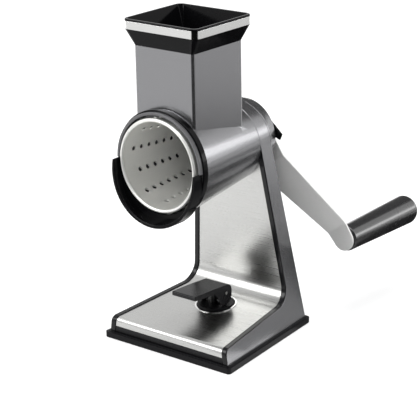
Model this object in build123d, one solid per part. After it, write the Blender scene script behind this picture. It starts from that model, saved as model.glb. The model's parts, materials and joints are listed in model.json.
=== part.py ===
from build123d import *
from math import atan, cos, hypot, radians, sin
import os

os.makedirs("parts", exist_ok=True)

# Hand cranked rotary shredder on a suction foot. Millimetres, +Z up. The origin is the middle of the
# foot on the table, the drum's mouth faces -Y and the crank is at +Y.

# ---------------------------------------------------------------- stand
axis_height = 177.5        # drum axis above the table
foot_depth = 138.2         # skirt, front to back
foot_height = 6.6          # skirt
skirt_step = 3.1           # how far the skirt stands out in front and behind
skirt_side = 4.0           # and at the sides
skirt_width = 6.5
skirt_corner = 3.0
skirt_groove = 0.7         # height of the shadow groove under the body
cheek_half = 63.0          # cheek plane's distance from the middle, at the origin
cheek_lean = 0.13          # the cheeks close in by this much a millimetre of height
cheek_taper = 0.09         # and by this much a millimetre of depth
base_rise = 26.15          # height of the base top at mid depth
base_slope = 0.08          # the base top climbs to the rear
column_foot = 44.35        # column face, extended down to the table
front_lean = 0.112         # column face leans forward
back_lean = 0.142          # back leans forward
nose_radius = 6.0
fillet_radius = 16.0       # base top to column
rim_width = 5.8            # thickness of cheeks and arch, seen as the bead beside the steel
rim_round = 1.1            # rounding of the bead
plate_sink = 0.8           # steel lies this far below the bead
plate_thickness = 1.0
plate_top_drop = 14.0      # top of the steel plate below the drum axis
nose_band_height = 5.6     # dark band between skirt and steel
nose_band_wall = 3.0
cover_wall = 2.2
cover_sink = 0.6
seat_gap = 0.1             # clearance between pieces that are fitted together
running_gap = 0.05         # radial clearance of a shaft in its bush
moving_gap = 0.4           # clearance between pieces that move past each other
edge_break = 0.6           # chamfer on moulded and turned edges

# ---------------------------------------------------------------- base plate and its screws
plate_lift = 1.5           # base plate above the table
base_plate_wall = 3.0
screw_inset = 14.0         # screw from the base plate's edges
screw_radius = 1.7
screw_head_radius = 3.2
screw_head_height = 1.4
screw_length = 9.0
boss_radius = 4.5
boss_spare = 1.0           # bore left beyond a screw's tip
rib_half = 1.2             # half thickness of the ribs to the bosses

# ---------------------------------------------------------------- suction foot
suction_y = 4.0            # suction axis behind the middle
cup_radius = 45.0
cup_rim = 1.8              # thickness of the cup's edge
cup_middle = 9.0           # height of the cup's middle, drawn up
cup_hollow = 5.0           # height of the hollow under it
cup_pad_radius = 13.0      # flat middle of the cup
cup_shoulder = 4.0         # the cup's thick middle is this much wider on top
cup_lip = 2.0              # width of the flat sealing edge
table_gap = 0.2            # cup above the table
pocket_clearance = 2.0     # round the cup
pocket_height = 11.5       # underside of the pocket's roof
stem_radius = 4.0
stem_foot_radius = 11.0
stem_foot_height = 2.0
stem_eye_step = 0.2        # the eye is this much thinner than the stem
stem_travel = 4.0
tower_radius = 17.3
tower_wall = 3.0
pin_height = 39.0          # lever pin above the table
pin_radius = 1.6
cam_reach = 11.5           # from the pin down to the tower's top, with the lever at rest
ring_width = 1.7           # bright ring round the tower
ring_thickness = 0.7
ring_gap = 0.4             # tower to ring
spring_wire = 1.1
spring_radius = 6.0        # to the middle of the wire
spring_turns = 2.5
washer_height = 1.2
lever_length = 46.0        # pin to tip
lever_half_width = 13.0
lever_wall = 2.7
lever_skin = 3.4
lever_tip_skin = 4.2       # thickness of the tip
lever_rise_tip = 10.8      # top of the tip above the pin
lever_rise_root = 7.6      # top above the pin
lever_cheek_front = 16.9   # how far the lever's sides reach forward of the pin, under the skin
lever_cheek_foot = 4.4     # and at their lower end
lever_cheek_gap = 0.6      # their lower end above the tower
lever_cheek_round = 1.0
lever_throat_round = 4.0   # where their front edge meets the paddle
lever_crown = 40.0         # radius of the paddle's hump
lever_crown_rise = 0.6
lever_heel_round = 6.5
lever_tip_round = 1.4

# ---------------------------------------------------------------- barrel and hopper
barrel_front_y = -68.4
barrel_front_radius = 48.1
barrel_rear_radius = 37.6  # at the column face
barrel_wall = 3.4
barrel_floor_y = 14.0      # inner face of the barrel's rear wall
collar_depth = 6.0         # black collar that laps the barrel's front edge
collar_radius = 48.2
collar_wall = 1.6
collar_edge = 0.4
hopper_front_y = -60.9
hopper_depth = 67.5
hopper_half_width = 32.9
hopper_wall = 2.6
hopper_corner = 3.5
hopper_top = 99.4          # top of the tube above the drum axis
flare_height = 14.3
band_height = 7.1
lip_height = 1.7
lip_edge_round = 1.0
flare_side = 7.9           # flare stands out at each side
flare_front = 5.6
flare_back = 5.0
rim_corner = 7.0
band_thickness = 0.8
lip_width = 2.4            # width of the rim's top face
ring_depth = 3.0           # front ring
ring_inner_radius = 44.0
ring_outer_radius = 46.8
ring_round = 0.9
lip_radius = 46.0          # spout lip, outside
lip_drop = 7.3             # its centre below the drum axis
lip_front_y = -82.5        # at its lowest point
lip_lean = 0.066           # the lip's front edge leans back this much a millimetre of height
lip_round = 1.0
lip_wall = 3.0
lip_web = 2.6

# ---------------------------------------------------------------- drum
drum_front_y = -72.0
drum_front_radius = 40.8
drum_rear_radius = 31.4
drum_rear_y = 11.0
drum_wall = 1.0
drum_bead_radius = 1.7     # rolled front edge
hole_radius = 2.2
hole_rows = 12             # round the drum
hole_turn = 9.0            # degrees from the top to the first row
hole_pitch = 9.1           # along the drum
hole_first = 13.2          # first hole behind the front edge
holes_in_row = 7
drum_hub_depth = 8.0
drum_hub_boss = 11.0
drum_hub_rise = 3.0        # boss in front of the disc
square_size = 8.0          # shaft's square end
shaft_radius = 6.0
shaft_front_y = 1.0

# ---------------------------------------------------------------- head, behind the barrel
bush_wall = 2.5
cap_radius = 36.2          # at the stand's back
cap_rear_radius = 32.2
cap_depth = 13.4           # from the stand's back to the cap's rear face
cap_round = 4.0
cap_overlap = 4.0          # how far the rear cover runs up under the cap
spigot_radius = 12.0
lock_ring_depth = 2.4
lock_ring_radius = 27.0
lock_tab_reach = 10.3      # thumb tab beyond the ring
lock_tab_height = 3.3      # upper corner of its tip above three o'clock
lock_tab_slope = 0.89      # its upper edge runs down to the tip
lock_tab_end = 5.3         # width of its end
lock_tab_hook = 3.3        # depth of the hook behind the end
lock_tab_bevel = 2.1       # the end slants back this much
lock_tab_root = 8.0        # the tab is rooted this far inside the ring's edge
housing_screw_circle = 22.0
housing_screw_radius = 2.0
housing_screw_head = 3.6
housing_screw_sink = 3.0
housing_screw_grip = 5.0   # length held in the barrel
housing_screw_flat = 1.2   # height of a head
housing_screw_count = 3

# ---------------------------------------------------------------- crank and grip
crank_hub_radius = 26.0
crank_hub_depth = 3.1
hub_round = 1.2
arm_thickness = 2.0
arm_angle = 53.5           # degrees below the level, to the right
arm_root_width = 39.6
arm_tip_width = 21.8
arm_first_bend = 35.0      # from the axis, along the arm
arm_second_bend = 114.0
arm_slope = 0.48           # rearward step a millimetre between the bends
arm_bend_radius = 7.0
crank_radius = 126.5
hub_screw_radius = 3.0
hub_screw_head = 7.0
hub_screw_head_height = 3.4
hub_screw_depth = 12.0
hub_screw_slot = 1.6       # width of its slot
axle_radius = 3.5
axle_tang_step = 0.6       # the riveted end is this much thinner
axle_length = 91.0
grip_washer_radius = 9.5
grip_washer_depth = 1.4
grip_length = 108.5
grip_near_radius = 12.0
grip_far_radius = 14.3
grip_dome = 8.5            # rounding of the far end
grip_edge_round = 1.2

# ---------------------------------------------------------------- worked out
half_foot = foot_depth / 2
front_y = -half_foot + skirt_step
rear_y = half_foot - skirt_step
lean_angle = atan(cheek_lean)
hopper_rear_y = hopper_front_y + hopper_depth
back_at_axis = rear_y - back_lean * (axis_height - foot_height)
cap_rear_y = back_at_axis + cap_depth
lock_ring_y = cap_rear_y + moving_gap
crank_hub_y = lock_ring_y + lock_ring_depth + moving_gap
arm_y = crank_hub_y + crank_hub_depth + seat_gap
pad_y = arm_y + arm_slope * (arm_second_bend - arm_first_bend)
grip_x = crank_radius * cos(radians(arm_angle))
grip_z = axis_height - crank_radius * sin(radians(arm_angle))
tower_top = pin_height - cam_reach
reach = 400.0              # longer than the whole object


def cheek_x(y, z, inset=0.0):
    """Distance of the cheek's plane from the middle, moved inwards by inset."""
    return cheek_half - cheek_lean * z - cheek_taper * y - inset * hypot(1, cheek_lean)


def column_y(z, inset=0.0):
    return column_foot - front_lean * z + inset * hypot(1, front_lean)


def back_y(z, inset=0.0):
    return rear_y - back_lean * (z - foot_height) - inset * hypot(1, back_lean)


def base_top(y, inset=0.0):
    return base_rise + base_slope * y - inset * hypot(1, base_slope)


def box(x0, x1, y0, y1, z0, z1):
    size = Box(abs(x1 - x0), abs(y1 - y0), abs(z1 - z0))
    return Pos((x0 + x1) / 2, (y0 + y1) / 2, (z0 + z1) / 2) * size


def rod_y(x, z, radius, y0, y1):
    """Cylinder along Y."""
    return Pos(x, (y0 + y1) / 2, z) * Rot(90, 0, 0) * Cylinder(radius, y1 - y0)


def rod_z(x, y, radius, z0, z1):
    return Pos(x, y, (z0 + z1) / 2) * Cylinder(radius, z1 - z0)


def rod_x(y, z, radius, x0, x1):
    return Pos((x0 + x1) / 2, y, z) * Rot(0, 90, 0) * Cylinder(radius, x1 - x0)


def turned_y(points):
    """Solid turned about the drum axis, from (radius, y) points."""
    section = make_face(Polyline([(r, y, 0) for r, y in points], close=True))
    return Pos(0, 0, axis_height) * revolve(section, Axis.Y)


def turned_z(points):
    """Solid turned about the suction axis, from (radius, z) points."""
    section = make_face(Polyline([(r, 0, z) for r, z in points], close=True))
    return Pos(0, suction_y, 0) * revolve(section, Axis.Z)


# ---------------------------------------------------------------- the stand's outer form
def stand_section(y, inset):
    """Front view of the stand at depth y: leaning sides and a round top over the drum axis."""
    radius = (cheek_half - cheek_taper * y - cheek_lean * axis_height) * cos(lean_angle) - inset
    side = radius * cos(lean_angle)
    shoulder = axis_height + radius * sin(lean_angle)
    low = -foot_height
    half = cheek_x(y, low, inset)
    outline = Wire([
        Edge.make_line((-half, y, low), (-side, y, shoulder)),
        Edge.make_three_point_arc(
            (-side, y, shoulder), (0, y, axis_height + radius), (side, y, shoulder)),
        Edge.make_line((side, y, shoulder), (half, y, low)),
        Edge.make_line((half, y, low), (-half, y, low)),
    ])
    return Face(outline)


def stand_prism(inset=0.0):
    """The front view carried from front to rear, closing in as it goes."""
    sections = [stand_section(-foot_depth, inset), stand_section(foot_depth, inset)]
    return loft(sections, ruled=True)


def stand_profile(front_inset=0.0, back_inset=0.0, low=foot_height):
    """Side view of the stand, as a slab across the whole width."""
    nose_y = front_y + front_inset
    high = axis_height + half_foot
    slant = base_slope * front_lean
    top_line = base_top(0, front_inset)
    column_line = column_y(0, front_inset)
    knee_z = (top_line + base_slope * column_line) / (1 + slant)
    points = [
        (nose_y, low),
        (nose_y, base_top(nose_y, front_inset)),
        (column_y(knee_z, front_inset), knee_z),
        (column_y(high, front_inset), high),
        (back_y(high, back_inset), high),
        (back_y(low, back_inset), low),
    ]
    rounds = [0, max(nose_radius - front_inset, 0.2), fillet_radius + front_inset, 0, 0, 0]
    outline = FilletPolyline(*points, radius=rounds, close=True)
    return extrude(Plane.YZ * make_face(outline), amount=reach / 2, both=True)


def front_skin(inset, wall):
    """Layer of the given wall that follows the nose, the base top and the column face."""
    return stand_profile(inset) - stand_profile(inset + wall)


def side_frame():
    return (stand_profile() & stand_prism()) - stand_prism(rim_width)


def cheek(side):
    half_space = box(0, side * reach, -reach, reach, 0, axis_height)
    piece = side_frame() & half_space
    return round_rim(piece)


def head_arch():
    piece = side_frame() & box(-reach, reach, -reach, reach, axis_height, 2 * axis_height)
    return round_rim(piece)


def round_rim(piece):
    """Round the bead's two long edges, on the front side only."""
    bead = [e for e in piece.edges() if is_bead(e)]
    return fillet(bead, rim_round)


def is_bead(edge):
    """An edge of the bead runs along the nose, the base top, the fillet or the column face."""
    middle = edge @ 0.5
    along = edge % 0.5
    if abs(along.X) > 0.7:
        return False
    if middle.Z < foot_height + 1 and abs(along.Z) < 0.5:
        return False
    behind = back_y(middle.Z) - middle.Y
    return behind > 1.0 and not (abs(middle.Z - axis_height) < 0.01 and abs(along.Y) > 0.5)


def front_plate():
    """Bent steel sheet from above the nose band to behind the barrel."""
    low = foot_height + nose_band_height
    sheet = front_skin(plate_sink, plate_thickness) & stand_prism(rim_width + seat_gap)
    sheet -= box(-reach, reach, -reach, 0, 0, low)
    sheet -= box(-reach, reach, -reach, reach, axis_height - plate_top_drop, 3 * axis_height)
    sheet -= box(-reach, reach, -reach, reach, -foot_height, low)
    hole = rod_z(0, suction_y, tower_radius + ring_gap, 0, pin_height)
    return sheet - hole


def tower_ring():
    """Bright ring that lies on the steel round the tower."""
    inner = tower_radius + ring_gap
    layer = front_skin(plate_sink - ring_thickness, ring_thickness)
    outer_rod = rod_z(0, suction_y, inner + ring_width, foot_height, pin_height)
    return (layer & outer_rod) - rod_z(0, suction_y, inner, foot_height, pin_height)


def screw_places():
    """Four screws, one near each corner of the base plate."""
    y = half_foot - skirt_width - screw_inset
    return [(side * (cheek_x(end * y, foot_height) - screw_inset), end * y)
            for side in (-1, 1) for end in (-1, 1)]


def screw_bosses(end, top):
    """Two bosses with pilot holes, at the front for end -1 and at the rear for end 1."""
    low = plate_lift + base_plate_wall + seat_gap
    posts = []
    for x, y in screw_places():
        if y * end > 0:
            post = rod_z(x, y, boss_radius, low, top)
            posts.append(post - rod_z(x, y, screw_radius + running_gap, low, low + screw_length))
    return posts


def boss_arm(end, wall_y):
    """Ribs that tie the bosses to the wall beside them."""
    low = foot_height
    ribs = []
    for x, y in screw_places():
        if y * end > 0:
            near, far = sorted((y + end * (boss_radius - rib_half), wall_y))
            high = low + nose_band_height - boss_spare
            ribs.append(box(x - rib_half, x + rib_half, near, far, low, high))
    return ribs


def nose_band():
    """Dark strip under the steel nose, with the two front screw bosses behind it."""
    high = foot_height + nose_band_height - seat_gap
    strip = front_skin(plate_sink, nose_band_wall) & stand_prism(rim_width + seat_gap)
    strip &= box(-reach, reach, -reach, 0, foot_height, high)
    inner_y = front_y + plate_sink + nose_band_wall / 2
    for piece in boss_arm(-1, inner_y) + screw_bosses(-1, high):
        strip += piece
    return strip


def rear_cover():
    """Panel that closes the back between the cheeks, with the two rear screw bosses."""
    layer = stand_profile(0, cover_sink) - stand_profile(0, cover_sink + cover_wall)
    layer &= stand_prism(rim_width + seat_gap)
    high = axis_height - cap_radius + cap_overlap
    panel = layer & box(-reach, reach, column_y(foot_height), reach, foot_height, high)
    boss_top = plate_lift + base_plate_wall + seat_gap + screw_length + 2 * boss_spare
    wall_y = back_y(foot_height + nose_band_height, cover_sink + cover_wall / 2)
    for piece in boss_arm(1, wall_y) + screw_bosses(1, boss_top):
        panel += piece
    return panel


# ---------------------------------------------------------------- foot
def foot_plan(inset):
    """Plan of the skirt's outside, moved inwards by inset: a little wider in front than behind."""
    y = half_foot - inset
    front = cheek_x(-y, foot_height) + skirt_side - inset
    rear = cheek_x(y, foot_height) + skirt_side - inset
    points = [(-front, -y), (front, -y), (rear, y), (-rear, y)]
    return make_face(FilletPolyline(*points, radius=skirt_corner, close=True))


def foot_skirt():
    """Dark ring that the stand rests on, with a shadow groove under the body."""
    skirt = extrude(foot_plan(0), amount=foot_height - seat_gap)
    skirt -= extrude(foot_plan(skirt_width), amount=foot_height)
    groove = extrude(foot_plan(0), amount=foot_height)
    groove -= extrude(foot_plan(skirt_step / 2), amount=foot_height)
    skirt -= groove & box(-reach, reach, -reach, reach, foot_height - skirt_groove, foot_height)
    base_edges = skirt.edges().group_by(Axis.Z)[0]
    return chamfer(base_edges, edge_break)


def base_plate():
    """Bottom plate with a round pocket over the suction cup and a bore for the stem."""
    high = plate_lift + base_plate_wall
    roof = pocket_height + base_plate_wall
    pocket = cup_radius + pocket_clearance
    plan = foot_plan(skirt_width + seat_gap)
    plate = Pos(0, 0, plate_lift) * extrude(plan, amount=base_plate_wall)
    plate += rod_z(0, suction_y, pocket + base_plate_wall, plate_lift, roof)
    plate -= rod_z(0, suction_y, pocket, 0, pocket_height)
    plate -= rod_z(0, suction_y, stem_radius + running_gap, 0, roof + 1)
    for x, y in screw_places():
        plate -= rod_z(x, y, screw_radius + running_gap, 0, high + 1)
        plate -= rod_z(x, y, screw_head_radius + seat_gap, 0, plate_lift + screw_head_height)
    return plate


def base_screws():
    """Four countersunk-head screws as one group, driven up into the bosses."""
    low = plate_lift + running_gap
    screws = []
    for x, y in screw_places():
        head = rod_z(x, y, screw_head_radius, low, low + screw_head_height - running_gap)
        top = plate_lift + base_plate_wall + screw_length - boss_spare
        screws.append(head + rod_z(x, y, screw_radius, low, top))
    return Compound(children=screws)


# ---------------------------------------------------------------- suction foot and lever
def suction_cup():
    edge = table_gap + cup_rim
    return turned_z([
        (0, cup_hollow), (cup_pad_radius, cup_hollow), (cup_radius - cup_lip, table_gap),
        (cup_radius, table_gap), (cup_radius, edge), (cup_pad_radius + cup_shoulder, cup_middle),
        (0, cup_middle),
    ])


def suction_stem():
    """Rod with a foot on the cup and an eye for the lever pin."""
    foot_top = cup_middle + seat_gap + stem_foot_height
    stem = rod_z(0, suction_y, stem_foot_radius, cup_middle + seat_gap, foot_top)
    stem += rod_z(0, suction_y, stem_radius, cup_middle + seat_gap, pin_height)
    stem += rod_x(suction_y, pin_height, stem_radius - stem_eye_step, -stem_radius, stem_radius)
    return stem - rod_x(suction_y, pin_height, pin_radius + running_gap, -reach, reach)


def spring_seat():
    """Height of the washer that the spring presses on."""
    return pocket_height + base_plate_wall + stem_travel + 2 * seat_gap


def spring_roof():
    return tower_top - tower_wall


def stem_washer():
    low = spring_seat()
    ring = rod_z(0, suction_y, spring_radius + spring_wire, low, low + washer_height)
    return ring - rod_z(0, suction_y, stem_radius + running_gap, 0, pin_height)


def suction_spring():
    """Coil between the washer on the stem and the roof of the tower."""
    low = spring_seat() + washer_height + spring_wire / 2 + seat_gap
    high = spring_roof() - spring_wire / 2 - seat_gap
    path = Helix((high - low) / spring_turns, high - low, spring_radius)
    start = path @ 0
    wire = Plane(origin=start, z_dir=path % 0) * Circle(spring_wire / 2)
    return Pos(0, suction_y, low) * sweep(wire, path=path, is_frenet=True)


def lever_tower():
    """Round tower on the base plate: guides the stem and takes the lever's thrust."""
    low = pocket_height + base_plate_wall + seat_gap
    tower = rod_z(0, suction_y, tower_radius, low, tower_top)
    tower = chamfer(tower.edges().group_by(Axis.Z)[-1], edge_break)
    tower -= rod_z(0, suction_y, spring_radius + spring_wire + moving_gap, low, spring_roof())
    return tower - rod_z(0, suction_y, stem_radius + running_gap, 0, pin_height)


def lever_side_view():
    """Side of the lever about its pin: a paddle forward, a rounded heel, and sides that taper down."""
    heel = cam_reach - stem_travel - moving_gap / 2
    cheek_low = lever_cheek_gap - cam_reach
    return FilletPolyline(
        (-lever_length, lever_rise_tip - lever_tip_skin),
        (-lever_length, lever_rise_tip),
        (-lever_length / 2, (lever_rise_tip + lever_rise_root) / 2 + lever_crown_rise),
        (heel, lever_rise_root),
        (heel, -heel / 2),
        (0, cheek_low),
        (-lever_cheek_foot, cheek_low),
        (-lever_cheek_front, lever_rise_root - lever_skin),
        radius=[lever_tip_round, lever_tip_round, lever_crown, lever_heel_round, 0, 0,
                lever_cheek_round, lever_throat_round],
        close=True)


def cam_disc():
    """Off-centre disc that lifts the stem as the lever is laid forward."""
    middle = (cam_reach + (cam_reach - stem_travel)) / 2
    shift = stem_travel / 2
    return Pos(-shift, -shift) * Circle(middle - moving_gap / 2)


def suction_lever():
    """Paddle with two sides that straddle the stem, each ending in a cam."""
    skin_inner = Plane.YZ * make_face(lever_side_view())
    body = extrude(skin_inner, amount=lever_half_width, both=True)
    inside = lever_half_width - lever_wall
    hollow_low = -2 * cam_reach
    hollow = box(-inside, inside, -lever_length, cam_reach, hollow_low,
                 lever_rise_root - lever_skin)
    body -= hollow
    for side in (-1, 1):
        disc = extrude(Plane.YZ * cam_disc(), amount=lever_wall)
        x = inside if side > 0 else -lever_half_width
        body += Pos(x, 0, 0) * disc
    body -= rod_x(0, 0, pin_radius + running_gap, -reach, reach)
    return Pos(0, suction_y, pin_height) * body


def lever_pin():
    half = lever_half_width - 0.3
    return rod_x(suction_y, pin_height, pin_radius, -half, half)


# ---------------------------------------------------------------- barrel and hopper
def barrel_slope():
    """Change of the barrel's radius a millimetre of depth."""
    return (barrel_rear_radius - barrel_front_radius) / (column_y(axis_height) - barrel_front_y)


def barrel_radius(y):
    return barrel_front_radius + barrel_slope() * (y - barrel_front_y)


def cone_y(radius_at, y0, y1, inset=0.0):
    """Cone along the drum axis whose radius follows the given function."""
    return turned_y([(0, y0), (radius_at(y0) - inset, y0), (radius_at(y1) - inset, y1), (0, y1)])


def hopper_plan(outset_side, outset_front, outset_back, corner):
    half = hopper_half_width + outset_side
    front = hopper_front_y - outset_front
    back = hopper_rear_y + outset_back
    points = [(-half, front), (half, front), (half, back), (-half, back)]
    return make_face(FilletPolyline(*points, radius=corner, close=True))


def in_front_of_column(gap):
    """Everything in front of the column face, less a gap."""
    return stand_half_space(-gap)


def stand_half_space(inset):
    points = [
        (column_y(-reach, inset), -reach), (column_y(reach, inset), reach),
        (-2 * reach, reach), (-2 * reach, -reach),
    ]
    return extrude(Plane.YZ * make_face(Polyline(points, close=True)), amount=reach, both=True)


def barrel_housing():
    """Conical barrel and hopper tube in one moulding."""
    rear = column_y(0)
    shell = cone_y(barrel_radius, barrel_front_y, rear)
    top = axis_height + hopper_top
    tube = Pos(0, 0, axis_height) * extrude(hopper_plan(0, 0, 0, hopper_corner), amount=hopper_top)
    shell += tube
    shell -= cone_y(barrel_radius, barrel_front_y, barrel_floor_y, barrel_wall)
    throat = hopper_plan(-hopper_wall, -hopper_wall, -hopper_wall, hopper_corner - hopper_wall)
    shell -= Pos(0, 0, axis_height + shaft_radius) * extrude(throat, amount=hopper_top)
    shell -= box(-reach, reach, -reach, reach, top, 2 * top)
    shell &= in_front_of_column(seat_gap)
    lap_radius = collar_radius - collar_wall - running_gap
    lap_rear = barrel_front_y + collar_depth + seat_gap
    lap = rod_y(0, axis_height, 2 * collar_radius, barrel_front_y - 1, lap_rear)
    shell -= lap - rod_y(0, axis_height, lap_radius, barrel_front_y - 1, lap_rear)
    shell -= rod_y(0, axis_height, shaft_radius + moving_gap, barrel_floor_y - 1, rear)
    for x, z in housing_screw_places():
        shell -= rod_y(x, z, housing_screw_radius + running_gap,
                       column_y(z) - housing_screw_grip - 1, rear)
    return shell


def mouth_collar():
    """Gloss collar lapped over the barrel's front edge."""
    rear = barrel_front_y + collar_depth
    bore = collar_radius - collar_wall
    collar = turned_y([
        (bore, barrel_front_y), (collar_radius, barrel_front_y), (collar_radius, rear), (bore, rear)])
    outer_edge = collar.edges().filter_by(GeomType.CIRCLE).sort_by(SortBy.RADIUS)[-2:]
    return chamfer(outer_edge, collar_edge)


def front_ring():
    """Half ring round the upper half of the barrel's mouth."""
    y1 = barrel_front_y - seat_gap
    y0 = y1 - ring_depth
    ring = rod_y(0, axis_height, ring_outer_radius, y0, y1)
    ring -= rod_y(0, axis_height, ring_inner_radius, y0 - 1, y1 + 1)
    ring &= box(-reach, reach, y0, y1, axis_height + seat_gap, 2 * axis_height)
    edges = ring.edges().filter_by(GeomType.CIRCLE).group_by(Axis.Y)[0]
    return fillet(edges, ring_round)


def lip_outline(radius):
    """Trough shape seen from the front: a deep half round below the drum axis."""
    centre = axis_height - lip_drop
    rise = lip_drop - seat_gap
    side = (radius ** 2 - rise ** 2) ** 0.5
    arc = Edge.make_three_point_arc(
        (-side, 0, centre + rise), (0, 0, centre - radius), (side, 0, centre + rise))
    return Face(Wire([arc, Edge.make_line((side, 0, centre + rise), (-side, 0, centre + rise))]))


def lip_edge_y(z):
    """Place of the lip's slanting front edge at height z."""
    return lip_front_y + lip_lean * (z - axis_height + lip_drop + lip_radius)


def spout_lip():
    """Black trough below the drum's mouth, with a web that fits round the barrel's bore."""
    y1 = barrel_front_y - seat_gap
    depth = y1 - lip_front_y
    outer = Pos(0, y1, 0) * extrude(lip_outline(lip_radius), amount=depth, dir=(0, -1, 0))
    inner = Pos(0, y1 - lip_web, 0) * extrude(
        lip_outline(lip_radius - lip_wall), amount=depth, dir=(0, -1, 0))
    lip = outer - inner
    lip -= rod_y(0, axis_height, ring_inner_radius, lip_front_y - 1, y1 + 1)
    high = 2 * axis_height
    beyond = Polyline([(lip_edge_y(0), 0), (lip_edge_y(high), high), (-reach, high), (-reach, 0)],
                      close=True)
    lip -= extrude(Plane.YZ * make_face(beyond), amount=reach, both=True)
    front = [e for e in lip.edges() if abs((e @ 0.5).Y - lip_edge_y((e @ 0.5).Z)) < 0.01]
    outer_edge = sorted(front, key=lambda e: e.length)[-1]
    return fillet(outer_edge, lip_round)


def hopper_funnel():
    """Flared mouth of the hopper, with a rebate for the steel band and a lip over it."""
    low = axis_height + hopper_top + seat_gap
    mid = low - seat_gap + flare_height
    high = mid + band_height + lip_height
    outer_low = Pos(0, 0, low) * hopper_plan(0, 0, 0, hopper_corner)
    rim = (flare_side, flare_front, flare_back)
    outer_high = Pos(0, 0, mid) * hopper_plan(*rim, rim_corner)
    body = loft([outer_low, outer_high])
    band_seat = [value - band_thickness - seat_gap for value in rim]
    body += Pos(0, 0, mid) * extrude(
        hopper_plan(*band_seat, rim_corner - band_thickness), amount=band_height)
    lip = Pos(0, 0, mid + band_height) * extrude(hopper_plan(*rim, rim_corner), amount=lip_height)
    body += fillet(lip.edges().group_by(Axis.Z)[-1], lip_edge_round)
    inner_low = Pos(0, 0, low) * hopper_plan(
        -hopper_wall, -hopper_wall, -hopper_wall, hopper_corner - hopper_wall)
    inset = [value - lip_width for value in rim]
    inner_high = Pos(0, 0, high) * hopper_plan(*inset, rim_corner - lip_width)
    return body - loft([inner_low, inner_high])


def hopper_band():
    """Bright steel band round the hopper's mouth."""
    low = axis_height + hopper_top + flare_height + seat_gap
    rim = (flare_side, flare_front, flare_back)
    inner = [value - band_thickness for value in rim]
    height = band_height - 2 * seat_gap
    band = extrude(hopper_plan(*rim, rim_corner), amount=height)
    band -= extrude(hopper_plan(*inner, rim_corner - band_thickness), amount=height)
    return Pos(0, 0, low) * band


# ---------------------------------------------------------------- head
def housing_screw_places():
    places = []
    for index in range(housing_screw_count):
        angle = radians(90 + 360 * index / housing_screw_count)
        places.append((housing_screw_circle * cos(angle),
                       axis_height + housing_screw_circle * sin(angle)))
    return places


def block_bottom():
    return axis_height - plate_top_drop + seat_gap


def bearing_block():
    """Solid head between plate and cap: holds the bush and takes the housing screws."""
    block = stand_profile(plate_sink, cover_sink) & stand_prism(rim_width + seat_gap)
    block &= box(-reach, reach, -reach, reach, block_bottom(), 3 * axis_height)
    block -= rod_y(0, axis_height, bush_radius() + running_gap, -reach, reach)
    for x, z in housing_screw_places():
        block -= rod_y(x, z, housing_screw_radius + running_gap, -reach, reach)
        seat = back_y(z, cover_sink) - housing_screw_sink
        block -= rod_y(x, z, housing_screw_head + seat_gap, seat - housing_screw_flat, reach)
    return block


def bush_radius():
    return shaft_radius + running_gap + bush_wall


def bearing_bush():
    """Plain bush for the shaft, from the column face to the cap."""
    front = column_y(axis_height - bush_radius(), plate_sink)
    rear = back_y(axis_height + bush_radius(), cover_sink)
    bush = rod_y(0, axis_height, bush_radius(), front, rear)
    return bush - rod_y(0, axis_height, shaft_radius + running_gap, front - 1, rear + 1)


def housing_screws():
    screws = []
    for x, z in housing_screw_places():
        seat = back_y(z, cover_sink) - housing_screw_sink
        tip = column_y(z) - housing_screw_grip
        head = rod_y(x, z, housing_screw_head, seat - housing_screw_flat, seat)
        screws.append(head + rod_y(x, z, housing_screw_radius, tip, seat))
    return Compound(children=screws)


def rear_cap():
    """Rounded cover behind the head, with a spigot that carries the lock ring."""
    cap = turned_y([(0, 0), (cap_radius, 0), (cap_radius, back_at_axis),
                    (cap_rear_radius, cap_rear_y), (0, cap_rear_y)])
    cap = fillet(cap.edges().group_by(Axis.Y)[-1], cap_round)
    cap += rod_y(0, axis_height, spigot_radius, 0, crank_hub_y - moving_gap)
    cap -= stand_front_of_back(seat_gap)
    return cap - rod_y(0, axis_height, shaft_radius + moving_gap, -1, reach)


def stand_front_of_back(gap):
    """Everything in front of the back plane, plus a gap."""
    points = [
        (back_y(-reach, -gap), -reach), (back_y(reach, -gap), reach),
        (-2 * reach, reach), (-2 * reach, -reach),
    ]
    return extrude(Plane.YZ * make_face(Polyline(points, close=True)), amount=reach, both=True)


def lock_ring():
    """Ring on the cap's spigot with a thumb tab; a small turn frees the barrel."""
    y1 = lock_ring_y + lock_ring_depth
    ring = rod_y(0, axis_height, lock_ring_radius, lock_ring_y, y1)
    tip = lock_ring_radius + lock_tab_reach
    root = lock_ring_radius - lock_tab_root
    hook = tip - lock_tab_bevel
    low = lock_tab_height - lock_tab_end
    outline = [
        (root, lock_ring_y, lock_tab_height + lock_tab_slope * (tip - root)),
        (tip, lock_ring_y, lock_tab_height),
        (hook, lock_ring_y, low),
        (hook - lock_tab_hook, lock_ring_y, low + lock_tab_hook / 2),
        (root, lock_ring_y, low),
    ]
    tab = extrude(make_face(Polyline(outline, close=True)), amount=lock_ring_depth, dir=(0, 1, 0))
    ring += Pos(0, 0, axis_height) * tab
    return ring - rod_y(0, axis_height, spigot_radius + running_gap, 0, reach)


# ---------------------------------------------------------------- drum and shaft
def drum_slope():
    return (drum_rear_radius - drum_front_radius) / (drum_rear_y - drum_front_y)


def drum_radius(y):
    return drum_front_radius + drum_slope() * (y - drum_front_y)


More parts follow.
